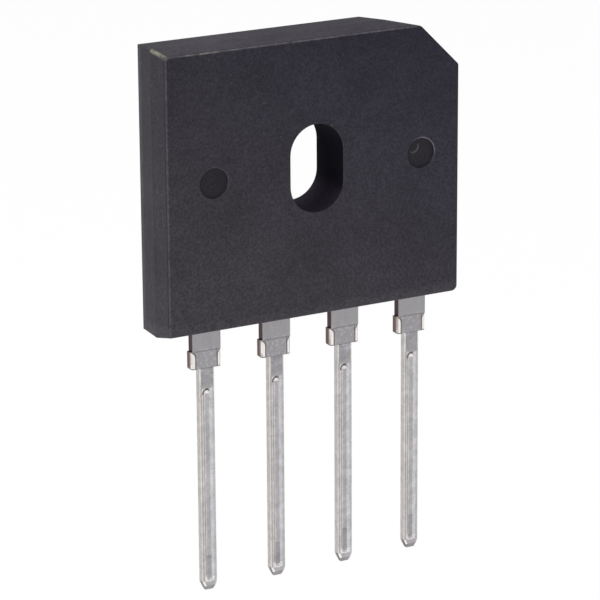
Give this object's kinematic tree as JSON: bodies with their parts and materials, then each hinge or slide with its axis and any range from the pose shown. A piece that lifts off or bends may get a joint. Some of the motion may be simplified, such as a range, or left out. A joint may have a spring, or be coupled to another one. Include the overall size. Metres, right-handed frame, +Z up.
{
  "type": "bridge rectifier",
  "caption": "Flat moulded bridge rectifier with a bevelled corner, a screw slot and a single row of stamped leads, for a heat sink and a circuit board.",
  "frame": {"origin": "middle of the lead row, halfway through the leads' thickness, level with the undersides of the lead shoulders, where the circuit board's top lies", "axes": "+X along the lead row towards the plus lead and the bevelled corner, +Y from the plain mounting face towards the marked face, +Z up from the board through the body"},
  "size_m": [0.0218, 0.0035, 0.0365],
  "materials": {
    "epoxy": "black epoxy moulding compound, matt and finely textured",
    "tinned_copper": "copper strip with a satin tin plating",
    "silicon": "diffused silicon with a passivated edge",
    "copper": "bare copper strip",
    "solder": "dull high-lead solder"
  },
  "bodies": {
    "root": {"body": "epoxy", "lead_plus": "tinned_copper", "lead_ac_1": "tinned_copper", "lead_ac_2": "tinned_copper", "lead_minus": "tinned_copper", "die_ac_1_plus": "silicon", "die_ac_2_plus": "silicon", "die_minus_ac_1": "silicon", "die_minus_ac_2": "silicon", "clip_ac_1": "copper", "clip_ac_2": "copper", "clip_minus": "copper", "solder_under_die_ac_1_plus": "solder", "solder_under_die_ac_2_plus": "solder", "solder_under_die_minus_ac_1": "solder", "solder_under_die_minus_ac_2": "solder", "solder_on_die_ac_1_plus": "solder", "solder_on_die_ac_2_plus": "solder", "solder_on_die_minus_ac_1": "solder", "solder_on_die_minus_ac_2": "solder", "solder_foot_ac_1": "solder", "solder_foot_ac_2": "solder", "solder_foot_minus": "solder"}
  },
  "joints": []
}
